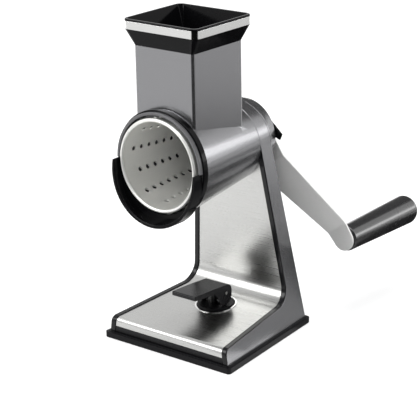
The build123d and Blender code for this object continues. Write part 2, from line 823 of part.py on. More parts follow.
def drum():
    """Shredding cone with rows of punched holes and a rolled front edge."""
    shell = cone_y(drum_radius, drum_front_y, drum_rear_y)
    shell -= cone_y(drum_radius, drum_front_y - 1, drum_rear_y + 1, drum_wall)
    bead_middle = drum_radius(drum_front_y) - drum_wall / 2
    bead = Pos(0, drum_front_y, axis_height) * Rot(90, 0, 0) * Torus(bead_middle, drum_bead_radius)
    punches = []
    for row in range(hole_rows):
        turn = hole_turn + 360 * row / hole_rows
        stagger = hole_pitch / 2 * ((row + 1) % 2)
        for index in range(holes_in_row):
            y = drum_front_y + hole_first + stagger + hole_pitch * index
            if y < drum_rear_y - drum_hub_depth - hole_radius - edge_break:
                punch = Pos(0, y, drum_radius(y)) * Cylinder(hole_radius, 2 * hole_radius + drum_wall)
                punches.append(Pos(0, 0, axis_height) * Rot(0, turn, 0) * punch)
    return shell + bead - punches


def drum_hub():
    """Moulded disc that closes the drum's rear end and takes the shaft's square end."""
    y0 = drum_rear_y - drum_hub_depth
    gap = drum_wall + running_gap
    hub = cone_y(drum_radius, y0, drum_rear_y, gap)
    hub += rod_y(0, axis_height, drum_hub_boss, y0 - drum_hub_rise, drum_rear_y)
    half = square_size / 2 + running_gap
    socket = box(-half, half, -reach, reach, axis_height - half, axis_height + half)
    return hub - socket


def drive_shaft():
    """Steel shaft: square in the drum's hub, round in the bush, tapped for the hub screw."""
    rear = arm_y - seat_gap
    half = square_size / 2
    square_end = drum_rear_y + running_gap
    shaft = rod_y(0, axis_height, shaft_radius, square_end, rear)
    shaft += box(-half, half, shaft_front_y, square_end + 1, axis_height - half, axis_height + half)
    depth = hub_screw_depth + 1
    return shaft - rod_y(0, axis_height, hub_screw_radius + running_gap, rear - depth, reach)


# ---------------------------------------------------------------- crank
def crank_hub():
    """Black disc pressed on the shaft, which the arm is screwed against."""
    y1 = crank_hub_y + crank_hub_depth
    hub = rod_y(0, axis_height, crank_hub_radius, crank_hub_y, y1)
    hub = fillet(hub.edges().filter_by(GeomType.CIRCLE), hub_round)
    return hub - rod_y(0, axis_height, shaft_radius + running_gap, 0, reach)


def arm_width(distance):
    return arm_root_width + (arm_tip_width - arm_root_width) * distance / crank_radius


def arm_plan():
    """Arm seen from the front, laid along +X: round at the hub, narrower and round at the pad."""
    root = arm_width(0) / 2
    tip = arm_width(crank_radius) / 2
    tilt = atan((root - tip) / crank_radius)
    root_x, root_z = root * sin(tilt), root * cos(tilt)
    tip_x, tip_z = crank_radius + tip * sin(tilt), tip * cos(tilt)
    outline = Wire([
        Edge.make_line((root_x, 0, root_z), (tip_x, 0, tip_z)),
        Edge.make_three_point_arc((tip_x, 0, tip_z), (crank_radius + tip, 0, 0), (tip_x, 0, -tip_z)),
        Edge.make_line((tip_x, 0, -tip_z), (root_x, 0, -root_z)),
        Edge.make_three_point_arc((root_x, 0, -root_z), (-root, 0, 0), (root_x, 0, root_z)),
    ])
    return Face(outline)


def arm_strip():
    """Edge view of the bent strip, as a slab across the widest width."""
    far = crank_radius + arm_tip_width
    centre = arm_y + arm_thickness / 2
    line = FilletPolyline(
        (-arm_root_width, centre), (arm_first_bend, centre),
        (arm_second_bend, centre + arm_slope * (arm_second_bend - arm_first_bend)),
        (far, centre + arm_slope * (arm_second_bend - arm_first_bend)),
        radius=arm_bend_radius)
    strip = trace(line, arm_thickness)
    return extrude(strip, amount=arm_root_width, both=True)


def crank_arm():
    reach_y = pad_y + arm_root_width
    plan = extrude(arm_plan(), amount=reach_y, dir=(0, 1, 0))
    arm = plan & arm_strip()
    arm -= Pos(0, arm_y, 0) * Rot(90, 0, 0) * Cylinder(hub_screw_radius + running_gap, reach)
    bore = axle_radius - axle_tang_step + seat_gap
    axle_hole = Pos(crank_radius, pad_y, 0) * Rot(90, 0, 0) * Cylinder(bore, reach)
    arm -= axle_hole & box(0, reach, pad_y + arm_thickness / 2, reach, -reach, reach)
    return Pos(0, 0, axis_height) * Rot(0, arm_angle, 0) * arm


def hub_screw():
    """Domed screw that holds the arm and the hub to the shaft."""
    back = arm_y + arm_thickness + running_gap
    tip = arm_y - hub_screw_depth
    head = rod_y(0, axis_height, hub_screw_head, back, back + hub_screw_head_height)
    head = fillet(head.edges().group_by(Axis.Y)[-1], hub_screw_head_height * 0.6)
    slot = box(-hub_screw_slot / 2, hub_screw_slot / 2, back + hub_screw_head_height * 0.6, reach,
               axis_height - hub_screw_head, axis_height + hub_screw_head)
    return head - slot + rod_y(0, axis_height, hub_screw_radius, tip, back + 1)


# ---------------------------------------------------------------- grip
def axle_start():
    return pad_y + arm_thickness + seat_gap


def grip_axle():
    """Axle riveted into the arm's end pad."""
    start = axle_start()
    axle = rod_y(grip_x, grip_z, axle_radius, start, start + axle_length)
    tang = arm_thickness / 2 + seat_gap
    tang_radius = axle_radius - axle_tang_step
    return axle + rod_y(grip_x, grip_z, tang_radius, start - tang + running_gap, start + 1)


def grip_washer():
    start = axle_start() + seat_gap
    ring = rod_y(grip_x, grip_z, grip_washer_radius, start, start + grip_washer_depth)
    return ring - rod_y(grip_x, grip_z, axle_radius + running_gap, start - 1, reach)


def grip():
    """Turning grip, thicker towards its domed end."""
    start = axle_start() + seat_gap + grip_washer_depth + moving_gap
    body = Pos(0, start + grip_length / 2, 0) * Rot(90, 0, 0) * Cone(
        grip_far_radius, grip_near_radius, grip_length)
    rims = body.edges().filter_by(GeomType.CIRCLE).sort_by(Axis.Y)
    body = fillet(rims[-1], grip_dome)
    near_rim = body.edges().filter_by(GeomType.CIRCLE).sort_by(Axis.Y)[0]
    body = fillet(near_rim, grip_edge_round)
    body = Pos(grip_x, 0, grip_z) * body
    bore_end = axle_start() + axle_length + moving_gap
    return body - rod_y(grip_x, grip_z, axle_radius + running_gap, start - 1, bore_end)


# ---------------------------------------------------------------- write the pieces
pieces = {
    "foot_skirt": foot_skirt(),
    "base_plate": base_plate(),
    "base_screws": base_screws(),
    "left_cheek": cheek(-1),
    "right_cheek": cheek(1),
    "head_arch": head_arch(),
    "front_plate": front_plate(),
    "nose_band": nose_band(),
    "rear_cover": rear_cover(),
    "tower_ring": tower_ring(),
    "lever_tower": lever_tower(),
    "suction_cup": suction_cup(),
    "suction_stem": suction_stem(),
    "stem_washer": stem_washer(),
    "suction_spring": suction_spring(),
    "suction_lever": suction_lever(),
    "lever_pin": lever_pin(),
    "barrel_housing": barrel_housing(),
    "mouth_collar": mouth_collar(),
    "front_ring": front_ring(),
    "spout_lip": spout_lip(),
    "hopper_funnel": hopper_funnel(),
    "hopper_band": hopper_band(),
    "bearing_block": bearing_block(),
    "bearing_bush": bearing_bush(),
    "housing_screws": housing_screws(),
    "rear_cap": rear_cap(),
    "lock_ring": lock_ring(),
    "drum": drum(),
    "drum_hub": drum_hub(),
    "drive_shaft": drive_shaft(),
    "crank_hub": crank_hub(),
    "crank_arm": crank_arm(),
    "hub_screw": hub_screw(),
    "grip_axle": grip_axle(),
    "grip_washer": grip_washer(),
    "grip": grip(),
}

for name, piece in pieces.items():
    export_step(piece, f"parts/{name}.step")
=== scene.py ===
import bpy
import bmesh
import json
import math
from mathutils import Matrix, Vector


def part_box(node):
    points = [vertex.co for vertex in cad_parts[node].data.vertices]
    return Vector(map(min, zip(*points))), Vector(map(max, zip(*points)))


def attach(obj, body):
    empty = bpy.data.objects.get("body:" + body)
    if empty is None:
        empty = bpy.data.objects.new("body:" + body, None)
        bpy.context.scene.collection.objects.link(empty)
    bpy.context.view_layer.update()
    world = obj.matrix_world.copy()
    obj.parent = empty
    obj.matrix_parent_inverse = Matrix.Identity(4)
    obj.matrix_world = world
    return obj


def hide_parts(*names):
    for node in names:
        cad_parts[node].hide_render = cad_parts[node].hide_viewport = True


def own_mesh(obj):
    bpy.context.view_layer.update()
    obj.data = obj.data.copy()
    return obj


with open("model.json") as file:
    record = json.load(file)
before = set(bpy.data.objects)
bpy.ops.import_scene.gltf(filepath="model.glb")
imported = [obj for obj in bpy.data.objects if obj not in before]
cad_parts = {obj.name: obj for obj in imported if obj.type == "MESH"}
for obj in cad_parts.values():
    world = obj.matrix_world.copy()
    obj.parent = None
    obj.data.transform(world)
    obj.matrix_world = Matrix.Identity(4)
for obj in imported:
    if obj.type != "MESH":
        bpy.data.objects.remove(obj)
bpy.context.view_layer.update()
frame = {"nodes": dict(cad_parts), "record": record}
nodes = frame["nodes"]

# ---------------------------------------------------------------- the view
# A long lens looks down a little on the shredder from the right of its mouth, as a product
# photograph is taken, with the horizon tipped by about a degree.
view_azimuth = math.radians(38.9)
view_elevation = math.radians(18.65)
view_roll = math.radians(-1.1)
view_distance = 1.490
view_aim = Vector((-0.0013, 0.0, 0.1249))
focal_pixels = 1661.0
photo_width = 420
film_width = 36.0
nearest_seen = 0.05

view_back = Vector((
    math.sin(view_azimuth) * math.cos(view_elevation),
    -math.cos(view_azimuth) * math.cos(view_elevation),
    math.sin(view_elevation)))
level_right = Vector((math.cos(view_azimuth), math.sin(view_azimuth), 0.0))
level_up = view_back.cross(level_right)
view_right = level_right * math.cos(view_roll) + level_up * math.sin(view_roll)
view_up = level_up * math.cos(view_roll) - level_right * math.sin(view_roll)

camera = bpy.data.objects.new("camera", bpy.data.cameras.new("camera"))
bpy.context.scene.collection.objects.link(camera)
camera.matrix_world = Matrix.Translation(view_aim + view_back * view_distance) @ Matrix(
    (view_right, view_up, view_back)).transposed().to_4x4()
camera.data.sensor_width = film_width
camera.data.lens = film_width * focal_pixels / photo_width
camera.data.clip_start = nearest_seen
bpy.context.scene.camera = camera

# ---------------------------------------------------------------- studio: soft boxes
# A large soft box stands at the left in front, a low wide one behind to the right draws the streak on
# barrel and grip, one hangs over the machine, and a veiled one at the right in front only fills.
bpy.context.scene.view_settings.view_transform = "Standard"


def soft_box(name, place, aim, width, height, power):
    """Square-edged area lamp that faces a point."""
    lamp = bpy.data.lights.new(name, "AREA")
    lamp.shape = "RECTANGLE"
    lamp.size = width
    lamp.size_y = height
    lamp.energy = power
    box = bpy.data.objects.new(name, lamp)
    bpy.context.scene.collection.objects.link(box)
    box.location = place
    box.rotation_euler = (Vector(aim) - Vector(place)).to_track_quat("-Z", "Y").to_euler()
    box.visible_camera = False
    return box


soft_box("front_box", place=(-0.75, -1.30, 1.05), aim=(0.0, 0.0, 0.15),
         width=0.9, height=0.9, power=14.0)
soft_box("rear_box", place=(0.96, 1.19, 0.34), aim=(0.0, 0.05, 0.16),
         width=0.8, height=0.30, power=1.7)
soft_box("top_box", place=(0.15, 0.25, 1.55), aim=(0.0, 0.0, 0.1),
         width=1.0, height=0.8, power=11.0)
fill_box = soft_box("fill_box", place=(0.95, -1.15, 0.75), aim=(0.03, 0.05, 0.13),
                    width=1.0, height=1.0, power=11.0)
fill_box.visible_glossy = False

# ---------------------------------------------------------------- studio: sky
# The room is white to the eye, in reflections and through clear pieces, and gives only a weak even
# light to the shredder.
sky_light_strength = 0.35
sky_seen_strength = 1.0
white = (1.0, 1.0, 1.0, 1.0)


def seen_by(tree, *kinds):
    """1 for rays of the named kinds, which show a surface, and 0 for those that only carry its light."""
    ray = tree.nodes.new("ShaderNodeLightPath")
    seen = ray.outputs[kinds[0]]
    for kind in kinds[1:]:
        either = tree.nodes.new("ShaderNodeMath")
        either.operation = "MAXIMUM"
        tree.links.new(seen, either.inputs[0])
        tree.links.new(ray.outputs[kind], either.inputs[1])
        seen = either.outputs[0]
    return seen


sky = bpy.data.worlds.new("sky")
bpy.context.scene.world = sky
sky.use_nodes = True
sky_tree = sky.node_tree
sky_tree.nodes.clear()
sky_mix = sky_tree.nodes.new("ShaderNodeMixShader")
sky_tree.links.new(
    seen_by(sky_tree, "Is Camera Ray", "Is Glossy Ray", "Is Transmission Ray"), sky_mix.inputs["Fac"])
for sky_input, sky_strength in ((1, sky_light_strength), (2, sky_seen_strength)):
    sky_glow = sky_tree.nodes.new("ShaderNodeBackground")
    sky_glow.inputs["Color"].default_value = white
    sky_glow.inputs["Strength"].default_value = sky_strength
    sky_tree.links.new(sky_glow.outputs[0], sky_mix.inputs[sky_input])
sky_out = sky_tree.nodes.new("ShaderNodeOutputWorld")
sky_tree.links.new(sky_mix.outputs[0], sky_out.inputs["Surface"])

# ---------------------------------------------------------------- studio: floor
# A sweep of matt white paper. It shows paler the farther it lies from the stand, so that it meets the
# white room without an edge and keeps the shredder's shadow.
floor_size = 8.0
paper_white = (0.86, 0.86, 0.86, 1.0)
glow_near = 0.45
glow_far = 0.80
glow_near_reach = 0.4
glow_far_reach = 1.6

floor_mesh = bpy.data.meshes.new("floor")
floor_mesh.from_pydata(
    [(x * floor_size / 2, y * floor_size / 2, 0.0) for x, y in ((-1, -1), (1, -1), (1, 1), (-1, 1))],
    [], [(0, 1, 2, 3)])
floor = bpy.data.objects.new("floor", floor_mesh)
bpy.context.scene.collection.objects.link(floor)

paper = bpy.data.materials.new("white_sweep")
paper.use_nodes = True
paper_tree = paper.node_tree
paper_shader = paper_tree.nodes["Principled BSDF"]
paper_shader.inputs["Base Color"].default_value = paper_white
paper_shader.inputs["Roughness"].default_value = 0.9
paper_shader.inputs["Specular IOR Level"].default_value = 0.0
paper_shader.inputs["Emission Color"].default_value = white
paper_place = paper_tree.nodes.new("ShaderNodeTexCoord")
paper_reach = paper_tree.nodes.new("ShaderNodeVectorMath")
paper_reach.operation = "LENGTH"
paper_tree.links.new(paper_place.outputs["Object"], paper_reach.inputs[0])
paper_fade = paper_tree.nodes.new("ShaderNodeMapRange")
paper_fade.inputs["From Min"].default_value = glow_near_reach
paper_fade.inputs["From Max"].default_value = glow_far_reach
paper_fade.inputs["To Min"].default_value = glow_near
paper_fade.inputs["To Max"].default_value = glow_far
paper_tree.links.new(paper_reach.outputs["Value"], paper_fade.inputs["Value"])
paper_glow = paper_tree.nodes.new("ShaderNodeMath")
paper_glow.operation = "MULTIPLY"
paper_tree.links.new(seen_by(paper_tree, "Is Camera Ray", "Is Glossy Ray"), paper_glow.inputs[0])
paper_tree.links.new(paper_fade.outputs["Result"], paper_glow.inputs[1])
paper_tree.links.new(paper_glow.outputs[0], paper_shader.inputs["Emission Strength"])
floor_mesh.materials.append(paper)

# ---------------------------------------------------------------- studio: cards for the reflections
# Curved cards that only reflections see: black ones in front to the right, where a dark studio lies
# behind the camera, grey runners on the floor that mostly darken towards the stand, and two grey
# walls at the rear.
card_steps = 12
card_lift = 0.0015
card_far = 2.2
card_wall_top = 2.4
card_black = 0.004
# First and last bearing of each card, in degrees from +X towards +Y.
front_bearings = (-96.0, -8.0)
right_bearings = (-8.0, 56.0)
right_wide_bearings = (-8.0, 84.0)
rear_bearings = (56.0, 140.0)
left_bearings = (-160.0, -96.0)
rear_high_bearings = (74.0, 124.0)
rear_low_bearings = (98.0, 124.0)


def card(name, bearings, near_edge, far_edge, brightness):
    """Card curved round the stand between two bearings, with its edges as (distance, height).

    A brightness of 1 is the white of the room.
    """
    first, last = bearings
    corners = []
    for step in range(card_steps + 1):
        bearing = math.radians(first + (last - first) * step / card_steps)
        for distance, height in (near_edge, far_edge):
            corners.append((distance * math.cos(bearing), distance * math.sin(bearing), height))
    faces = [(k, k + 1, k + 3, k + 2) for k in range(0, 2 * card_steps, 2)]
    mesh = bpy.data.meshes.new(name)
    mesh.from_pydata(corners, [], faces)
    felt = bpy.data.materials.new(name)
    felt.use_nodes = True
    felt_shader = felt.node_tree.nodes["Principled BSDF"]
    felt_shader.inputs["Base Color"].default_value = (0.0, 0.0, 0.0, 1.0)
    felt_shader.inputs["Specular IOR Level"].default_value = 0.0
    felt_shader.inputs["Emission Color"].default_value = white
    felt_shader.inputs["Emission Strength"].default_value = brightness
    mesh.materials.append(felt)
    panel = bpy.data.objects.new(name, mesh)
    bpy.context.scene.collection.objects.link(panel)
    panel.visible_camera = False
    panel.visible_diffuse = False
    panel.visible_transmission = False
    panel.visible_volume_scatter = False
    panel.visible_shadow = False


def runner(name, bearings, near, far, brightness):
    """Card that lies just over the floor, from a near to a far distance."""
    card(name, bearings, (near, card_lift), (far, card_lift), brightness)


runner("black_floor", front_bearings, 0.14, card_far, card_black)
card("black_wall", front_bearings, (card_far, card_lift), (card_far, card_wall_top), card_black)
runner("runner_right_near", right_bearings, 0.08, 0.30, 0.40)
runner("runner_right_middle", right_bearings, 0.30, 0.55, 0.22)
runner("runner_rear_near", rear_bearings, 0.08, 0.50, 0.03)
runner("runner_outer", right_wide_bearings, 0.55, 0.78, 0.20)
runner("runner_far", right_wide_bearings, 0.78, card_far, 0.68)
runner("runner_left", left_bearings, 0.30, card_far, 0.90)
card("rear_high", rear_high_bearings, (card_far, 0.55), (card_far, 3.0), 0.12)
card("rear_low", rear_low_bearings, (card_far, 0.20), (card_far, 0.55), 0.06)

# ---------------------------------------------------------------- foot skirt
# A soft black skirt round the foot, moulded in one piece, that grips the table. A groove parts it
# from the body above.
weld_distance = 0.000001
flat_angle = math.radians(0.5)
body_of_node = {node: body for body, held in frame["record"]["behaviour"]["bodies"].items()
                for node in held}


def moulded(name, colour, roughness, grain_size, grain_depth, mottle, specular=0.5):
    """Moulded plastic or rubber: one colour, a fine spark-eroded grain and a slightly uneven gloss."""
    palest, deepest = 1.06, 0.94
    material = bpy.data.materials.new(name)
    material.use_nodes = True
    tree = material.node_tree
    shader = tree.nodes["Principled BSDF"]
    shader.inputs["Specular IOR Level"].default_value = specular
    place = tree.nodes.new("ShaderNodeTexCoord")
    grain = tree.nodes.new("ShaderNodeTexNoise")
    grain.inputs["Scale"].default_value = 1.0 / grain_size
    grain.inputs["Detail"].default_value = 2.0
    tree.links.new(place.outputs["Object"], grain.inputs["Vector"])
    relief = tree.nodes.new("ShaderNodeBump")
    relief.inputs["Strength"].default_value = 0.5
    relief.inputs["Distance"].default_value = grain_depth
    tree.links.new(grain.outputs["Fac"], relief.inputs["Height"])
    tree.links.new(relief.outputs["Normal"], shader.inputs["Normal"])
    patches = tree.nodes.new("ShaderNodeTexNoise")
    patches.inputs["Scale"].default_value = 35.0
    patches.inputs["Detail"].default_value = 4.0
    tree.links.new(place.outputs["Object"], patches.inputs["Vector"])
    gloss = tree.nodes.new("ShaderNodeMapRange")
    gloss.inputs["To Min"].default_value = roughness - mottle
    gloss.inputs["To Max"].default_value = roughness + mottle
    tree.links.new(patches.outputs["Fac"], gloss.inputs["Value"])
    tree.links.new(gloss.outputs["Result"], shader.inputs["Roughness"])
    tint = tree.nodes.new("ShaderNodeMix")
    tint.data_type = "RGBA"
    tint.inputs["A"].default_value = (*[c * deepest for c in colour], 1.0)
    tint.inputs["B"].default_value = (*[c * palest for c in colour], 1.0)
    tree.links.new(patches.outputs["Fac"], tint.inputs["Factor"])
    tree.links.new(tint.outputs["Result"], shader.inputs["Base Color"])
    return material


def set_piece(piece, node, material):
    """Link a new piece, dress it and let it stand for a CAD node on that node's body."""
    bpy.context.scene.collection.objects.link(piece)
    piece.data.materials.append(material)
    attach(piece, body_of_node[node])
    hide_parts(node)
    even = piece.modifiers.new("even_shading", "WEIGHTED_NORMAL")
    even.keep_sharp = True


def softened(node, material, edge_round):
    """The node's own shape with its hard edges rounded, as a mould or a deburring wheel leaves them."""
    hard_angle = math.radians(35.0)
    form = bmesh.new()
    form.from_mesh(nodes[node].data)
    bmesh.ops.remove_doubles(form, verts=form.verts, dist=weld_distance)
    bmesh.ops.dissolve_limit(form, angle_limit=flat_angle, verts=form.verts, edges=form.edges)
    edges = [edge for edge in form.edges
             if len(edge.link_faces) == 2 and edge.calc_face_angle() > hard_angle]
    bmesh.ops.bevel(form, geom=edges, offset=edge_round, segments=2, profile=0.5, affect="EDGES",
                    clamp_overlap=True)
    for face in form.faces:
        face.smooth = True
    for edge in form.edges:
        edge.smooth = len(edge.link_faces) == 2 and edge.calc_face_angle() < hard_angle
    mesh = bpy.data.meshes.new(node + "_form")
    form.to_mesh(mesh)
    form.free()
    set_piece(bpy.data.objects.new(node + "_form", mesh), node, material)


skirt_rubber = moulded(
    "skirt_rubber", colour=(0.004, 0.004, 0.005), roughness=0.30,
    grain_size=0.0004, grain_depth=0.00002, mottle=0.05, specular=0.12)
softened("foot_skirt", skirt_rubber, edge_round=0.0006)

# ---------------------------------------------------------------- base plate and its screws
# A black moulding closes the foot from below and roofs the suction cup. Four zinc-plated screws hold
# it.


def metal(name, colour, roughness, streak, streak_axis, wander, metallic=1.0):
    """Worked steel: fine streaks along one axis, with the gloss varying from streak to streak."""
    palest, deepest = 1.05, 0.95
    streak_length = 90.0
    relief_share = 0.03
    material = bpy.data.materials.new(name)
    material.use_nodes = True
    tree = material.node_tree
    shader = tree.nodes["Principled BSDF"]
    shader.inputs["Metallic"].default_value = metallic
    place = tree.nodes.new("ShaderNodeTexCoord")
    stretch = tree.nodes.new("ShaderNodeMapping")
    across = 1.0 / streak
    scales = [across, across, across]
    scales["XYZ".index(streak_axis)] = across / streak_length
    stretch.inputs["Scale"].default_value = scales
    tree.links.new(place.outputs["Object"], stretch.inputs["Vector"])
    lines = tree.nodes.new("ShaderNodeTexNoise")
    lines.inputs["Scale"].default_value = 1.0
    lines.inputs["Detail"].default_value = 6.0
    lines.inputs["Roughness"].default_value = 0.65
    tree.links.new(stretch.outputs["Vector"], lines.inputs["Vector"])
    gloss = tree.nodes.new("ShaderNodeMapRange")
    gloss.inputs["From Min"].default_value = 0.3
    gloss.inputs["From Max"].default_value = 0.7
    gloss.inputs["To Min"].default_value = roughness - wander
    gloss.inputs["To Max"].default_value = roughness + wander
    tree.links.new(lines.outputs["Fac"], gloss.inputs["Value"])
    tree.links.new(gloss.outputs["Result"], shader.inputs["Roughness"])
    tint = tree.nodes.new("ShaderNodeMix")
    tint.data_type = "RGBA"
    tint.inputs["A"].default_value = (*[c * deepest for c in colour], 1.0)
    tint.inputs["B"].default_value = (*[min(c * palest, 1.0) for c in colour], 1.0)
    tree.links.new(lines.outputs["Fac"], tint.inputs["Factor"])
    tree.links.new(tint.outputs["Result"], shader.inputs["Base Color"])
    relief = tree.nodes.new("ShaderNodeBump")
    relief.inputs["Strength"].default_value = 0.05
    relief.inputs["Distance"].default_value = streak * relief_share
    tree.links.new(lines.outputs["Fac"], relief.inputs["Height"])
    tree.links.new(relief.outputs["Normal"], shader.inputs["Normal"])
    return material


base_black = moulded(
    "base_black", colour=(0.008, 0.008, 0.009), roughness=0.42,
    grain_size=0.0005, grain_depth=0.00003, mottle=0.06, specular=0.2)
softened("base_plate", base_black, edge_round=0.0004)
zinc = metal("zinc_plate", colour=(0.62, 0.62, 0.60), roughness=0.32,
             streak=0.0004, streak_axis="Z", wander=0.05)
softened("base_screws", zinc, edge_round=0.0003)

# ---------------------------------------------------------------- cheeks and head arch
# Two side mouldings in satin metallic anthracite, and the arch that joins them over the barrel's rear.
# Their front edge is a bead that stands a little proud of the steel. Its forward and upward faces are
# painted gloss black, a painted dark reflection on the same moulding.


def lacquer(name, colour, roughness, fleck):
    """Satin metallic lacquer on a moulding: fine flecks that glint, under an even silky gloss."""
    palest, deepest = 1.07, 0.93
    cloud = 0.03
    material = bpy.data.materials.new(name)
    material.use_nodes = True
    tree = material.node_tree
    shader = tree.nodes["Principled BSDF"]
    shader.inputs["Metallic"].default_value = 0.92
    place = tree.nodes.new("ShaderNodeTexCoord")
    flecks = tree.nodes.new("ShaderNodeTexVoronoi")
    flecks.inputs["Scale"].default_value = 1.0 / fleck
    tree.links.new(place.outputs["Object"], flecks.inputs["Vector"])
    tone = tree.nodes.new("ShaderNodeSeparateColor")
    tree.links.new(flecks.outputs["Color"], tone.inputs["Color"])
    tint = tree.nodes.new("ShaderNodeMix")
    tint.data_type = "RGBA"
    tint.inputs["A"].default_value = (*[c * deepest for c in colour], 1.0)
    tint.inputs["B"].default_value = (*[c * palest for c in colour], 1.0)
    tree.links.new(tone.outputs["Red"], tint.inputs["Factor"])
    tree.links.new(tint.outputs["Result"], shader.inputs["Base Color"])
    clouds = tree.nodes.new("ShaderNodeTexNoise")
    clouds.inputs["Scale"].default_value = 28.0
    clouds.inputs["Detail"].default_value = 3.0
    tree.links.new(place.outputs["Object"], clouds.inputs["Vector"])
    gloss = tree.nodes.new("ShaderNodeMapRange")
    gloss.inputs["To Min"].default_value = roughness - cloud
    gloss.inputs["To Max"].default_value = roughness + cloud
    tree.links.new(clouds.outputs["Fac"], gloss.inputs["Value"])
    tree.links.new(gloss.outputs["Result"], shader.inputs["Roughness"])
    relief = tree.nodes.new("ShaderNodeBump")
    relief.inputs["Strength"].default_value = 0.25
    relief.inputs["Distance"].default_value = 0.00001
    tree.links.new(flecks.outputs["Distance"], relief.inputs["Height"])
    tree.links.new(relief.outputs["Normal"], shader.inputs["Normal"])
    return material


def with_painted_dark_front(material, name):
    """The same lacquer on the outer sides, with gloss black painted where a face looks forward or up: a
    painted dark reflection.
    """
    sideways_share = 0.9
    material = material.copy()
    material.name = name
    tree = material.node_tree
    output = next(node for node in tree.nodes if node.type == "OUTPUT_MATERIAL")
    lacquered = tree.nodes["Principled BSDF"]
    # Painted dark reflection: gloss black for every face of the moulding that does not look sideways.
    bead = tree.nodes.new("ShaderNodeBsdfPrincipled")
    bead.inputs["Base Color"].default_value = (0.004, 0.004, 0.005, 1.0)
    bead.inputs["Roughness"].default_value = 0.14
    bead.inputs["Specular IOR Level"].default_value = 0.25
    place = tree.nodes.new("ShaderNodeTexCoord")
    facing = tree.nodes.new("ShaderNodeSeparateXYZ")
    tree.links.new(place.outputs["Normal"], facing.inputs["Vector"])
    sideways = tree.nodes.new("ShaderNodeMath")
    sideways.operation = "ABSOLUTE"
    tree.links.new(facing.outputs["X"], sideways.inputs[0])
    outer_side = tree.nodes.new("ShaderNodeMath")
    outer_side.operation = "GREATER_THAN"
    outer_side.inputs[1].default_value = sideways_share
    tree.links.new(sideways.outputs[0], outer_side.inputs[0])
    both = tree.nodes.new("ShaderNodeMixShader")
    tree.links.new(outer_side.outputs[0], both.inputs["Fac"])
    tree.links.new(bead.outputs["BSDF"], both.inputs[1])
    tree.links.new(lacquered.outputs["BSDF"], both.inputs[2])
    tree.links.new(both.outputs[0], output.inputs["Surface"])
    return material


anthracite = lacquer("anthracite", colour=(0.31, 0.31, 0.32), roughness=0.23, fleck=0.00035)
cheek_finish = with_painted_dark_front(anthracite, "anthracite_with_painted_dark_front")
softened("left_cheek", cheek_finish, edge_round=0.0005)
softened("right_cheek", cheek_finish, edge_round=0.0005)
softened("head_arch", anthracite, edge_round=0.0005)

# ---------------------------------------------------------------- front plate
# One sheet of stainless steel, brushed across, rolled over the nose and bent up the column. It lies a
# little below the cheeks' bead, and a round hole lets the lever's tower through.


def dress(node, material):
    """Give a CAD node its finish."""
    mesh = nodes[node].data
    mesh.materials.clear()
    mesh.materials.append(material)


plate_steel = metal("plate_steel", colour=(0.51, 0.51, 0.50), roughness=0.28,
                    streak=0.0004, streak_axis="X", wander=0.02)
plate_steel.node_tree.nodes["Principled BSDF"].inputs["Anisotropic"].default_value = 0.6
dress("front_plate", plate_steel)

# ---------------------------------------------------------------- nose band and rear cover
# The dark strip between the steel nose and the skirt, in the base's black, and the plain lacquered
# panel that closes the back between the cheeks.
softened("nose_band", base_black, edge_round=0.0004)
softened("rear_cover", anthracite, edge_round=0.0004)

# ---------------------------------------------------------------- tower and ring
# The round matt black tower that guides the suction stem, with a bright turned ring round its foot
# where it comes through the plate.
tower_black = moulded(
    "tower_black", colour=(0.003, 0.003, 0.0035), roughness=0.5,
    grain_size=0.0005, grain_depth=0.00002, mottle=0.05, specular=0.12)
softened("lever_tower", tower_black, edge_round=0.0005)
bright_steel = metal("bright_steel", colour=(0.80, 0.80, 0.79), roughness=0.14,
                     streak=0.0006, streak_axis="X", wander=0.03)
softened("tower_ring", bright_steel, edge_round=0.0002)

# ---------------------------------------------------------------- suction cup
# A soft rubber cup under the foot, moulded with a thin lip, that hangs on the stem. Here it is held
# whole on the stand, and its rim stays on the table.
cup_rubber = moulded(
    "cup_rubber", colour=(0.014, 0.014, 0.015), roughness=0.6,
    grain_size=0.0006, grain_depth=0.00003, mottle=0.06)
cup_low, cup_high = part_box("suction_cup")
cup_radius = (cup_high[0] - cup_low[0]) / 2
cup_centre = ((cup_high[0] + cup_low[0]) / 2, (cup_high[1] + cup_low[1]) / 2)
cup_height = cup_high[2] - cup_low[2]
cup_hollow = 0.0048
cup_turns = 96
cup_weld = 0.00001
# The cup's section as (share of the radius, height), from the hollow's middle round the lip to the top.
cup_profile = [
    (0.0, cup_hollow), (0.30, cup_hollow), (0.55, cup_hollow * 0.75), (0.80, cup_hollow * 0.35),
    (0.93, 0.0004), (0.965, 0.0), (0.995, 0.0003), (1.0, 0.0009), (0.99, 0.0015), (0.90, 0.0022),
    (0.88, 0.0030), (0.84, 0.0030), (0.82, 0.0032), (0.60, 0.0055), (0.44, 0.0076), (0.40, cup_height),
    (0.0, cup_height),
]
cup_form = bmesh.new()
cup_line = [cup_form.verts.new((cup_radius * share, 0.0, high)) for share, high in cup_profile]
for first, second in zip(cup_line, cup_line[1:]):
    cup_form.edges.new((first, second))
bmesh.ops.spin(cup_form, geom=cup_form.verts[:] + cup_form.edges[:], cent=(0, 0, 0), axis=(0, 0, 1),
               angle=math.tau, steps=cup_turns, use_merge=True)
bmesh.ops.remove_doubles(cup_form, verts=cup_form.verts, dist=cup_weld)
bmesh.ops.recalc_face_normals(cup_form, faces=cup_form.faces)
for vert in cup_form.verts:
    vert.co += Vector((cup_centre[0], cup_centre[1], cup_low[2]))
for face in cup_form.faces:
    face.smooth = True
cup_mesh = bpy.data.meshes.new("suction_cup_form")
cup_form.to_mesh(cup_mesh)
cup_form.free()
cup = bpy.data.objects.new("suction_cup_form", cup_mesh)
bpy.context.scene.collection.objects.link(cup)
cup_mesh.materials.append(cup_rubber)
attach(cup, "stand")
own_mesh(cup)
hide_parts("suction_cup")

